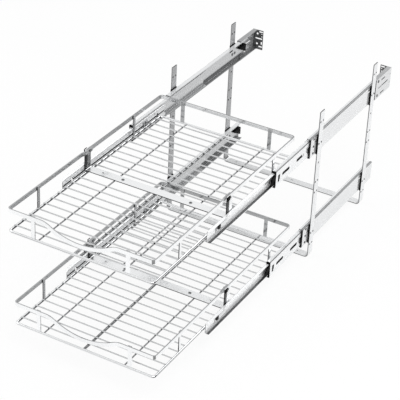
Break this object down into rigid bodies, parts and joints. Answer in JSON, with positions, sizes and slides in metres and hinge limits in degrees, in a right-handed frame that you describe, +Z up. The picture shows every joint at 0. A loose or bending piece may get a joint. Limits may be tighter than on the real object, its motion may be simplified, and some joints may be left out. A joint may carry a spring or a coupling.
{
  "type": "pull-out cabinet basket",
  "caption": "Two-tier pull-out wire basket organizer on full-extension ball-bearing slides, held by strap frames that screw to a cabinet floor.",
  "frame": {"origin": "middle of the four outer floor screws, on the underside of the floor straps", "axes": "+Y from the cabinet's front to its back (the way the baskets close), +Z up, +X to the right seen from the front"},
  "size_m": [0.3576, 0.992, 0.356],
  "materials": {
    "zinc_strap": "bright zinc plate",
    "slide_steel": "bright zinc plate on rolled sheet",
    "bracket_steel": "bright zinc plate on stamped sheet",
    "chrome_wire": "polished chrome plate",
    "chrome_flat": "chrome plate on flat band",
    "black_plastic": "moulded, fine grain",
    "cage_steel": "plain rolled sheet, lightly greased",
    "ball_steel": "ground and polished",
    "zinc_screw": "bright zinc plate"
  },
  "bodies": {
    "cabinet_frame": {"front_frame": "zinc_strap", "rear_frame": "zinc_strap", "leg_spacers": "black_plastic", "leg_screws": "zinc_screw", "cabinet_member_clips": "black_plastic", "rear_stops": "black_plastic", "left_rear_bracket": "bracket_steel", "right_rear_bracket": "bracket_steel", "bracket_rivets": "zinc_screw", "upper_left_cabinet_member": "slide_steel", "upper_right_cabinet_member": "slide_steel", "lower_left_cabinet_member": "slide_steel", "lower_right_cabinet_member": "slide_steel"},
    "upper_basket": {"upper_left_inner_member": "slide_steel", "upper_right_inner_member": "slide_steel", "upper_release_levers": "black_plastic", "upper_front_rail": "chrome_flat", "upper_rear_rail": "chrome_flat", "upper_rail_posts": "chrome_flat", "upper_bottom_frame": "chrome_wire", "upper_lengthwise_wires": "chrome_wire", "upper_cross_wires": "chrome_wire", "upper_floor_strap": "chrome_flat", "upper_lap_clips": "black_plastic", "upper_rail_bolts": "zinc_screw", "upper_strap_bolts": "zinc_screw", "upper_slide_screws": "zinc_screw", "upper_rear_ties": "chrome_flat"},
    "upper_slide_middle": {"upper_left_middle_member": "slide_steel", "upper_right_middle_member": "slide_steel", "upper_middle_member_clips": "black_plastic"},
    "upper_outer_cage": {"upper_outer_ball_cages": "cage_steel", "upper_outer_balls": "ball_steel"},
    "upper_inner_cage": {"upper_inner_ball_cages": "cage_steel", "upper_inner_balls": "ball_steel"},
    "lower_basket": {"lower_left_inner_member": "slide_steel", "lower_right_inner_member": "slide_steel", "lower_release_levers": "black_plastic", "lower_front_rail": "chrome_flat", "lower_rear_rail": "chrome_flat", "lower_rail_posts": "chrome_flat", "lower_bottom_frame": "chrome_wire", "lower_lengthwise_wires": "chrome_wire", "lower_cross_wires": "chrome_wire", "lower_floor_strap": "chrome_flat", "lower_lap_clips": "black_plastic", "lower_rail_bolts": "zinc_screw", "lower_strap_bolts": "zinc_screw", "lower_slide_screws": "zinc_screw", "lower_rear_ties": "chrome_flat"},
    "lower_slide_middle": {"lower_left_middle_member": "slide_steel", "lower_right_middle_member": "slide_steel", "lower_middle_member_clips": "black_plastic"},
    "lower_outer_cage": {"lower_outer_ball_cages": "cage_steel", "lower_outer_balls": "ball_steel"},
    "lower_inner_cage": {"lower_inner_ball_cages": "cage_steel", "lower_inner_balls": "ball_steel"}
  },
  "joints": [
    {"name": "upper_basket_slide", "type": "slide", "parent": "cabinet_frame", "child": "upper_basket", "axis": [0, 1, 0], "range_m": [0, 0.362]},
    {"name": "upper_slide_middle_travel", "type": "slide", "parent": "cabinet_frame", "child": "upper_slide_middle", "axis": [0, 1, 0], "range_m": [0, 0.1481]},
    {"name": "upper_outer_cage_travel", "type": "slide", "parent": "cabinet_frame", "child": "upper_outer_cage", "axis": [0, 1, 0], "range_m": [0, 0.0741]},
    {"name": "upper_inner_cage_travel", "type": "slide", "parent": "cabinet_frame", "child": "upper_inner_cage", "axis": [0, 1, 0], "range_m": [0, 0.2551]},
    {"name": "lower_basket_slide", "type": "slide", "parent": "cabinet_frame", "child": "lower_basket", "axis": [0, 1, 0], "range_m": [-0.014, 0.348]},
    {"name": "lower_slide_middle_travel", "type": "slide", "parent": "cabinet_frame", "child": "lower_slide_middle", "axis": [0, 1, 0], "range_m": [-0.00582, 0.14238]},
    {"name": "lower_outer_cage_travel", "type": "slide", "parent": "cabinet_frame", "child": "lower_outer_cage", "axis": [0, 1, 0], "range_m": [-0.00296, 0.07124]},
    {"name": "lower_inner_cage_travel", "type": "slide", "parent": "cabinet_frame", "child": "lower_inner_cage", "axis": [0, 1, 0], "range_m": [-0.00996, 0.24524]}
  ],
  "couplings": [
    {"joint": "upper_slide_middle_travel", "follows": "upper_basket_slide", "ratio": 0.40884},
    {"joint": "upper_outer_cage_travel", "follows": "upper_basket_slide", "ratio": 0.20442},
    {"joint": "upper_inner_cage_travel", "follows": "upper_basket_slide", "ratio": 0.70442},
    {"joint": "lower_slide_middle_travel", "follows": "lower_basket_slide", "ratio": 0.40884},
    {"joint": "lower_outer_cage_travel", "follows": "lower_basket_slide", "ratio": 0.20442},
    {"joint": "lower_inner_cage_travel", "follows": "lower_basket_slide", "ratio": 0.70442}
  ]
}
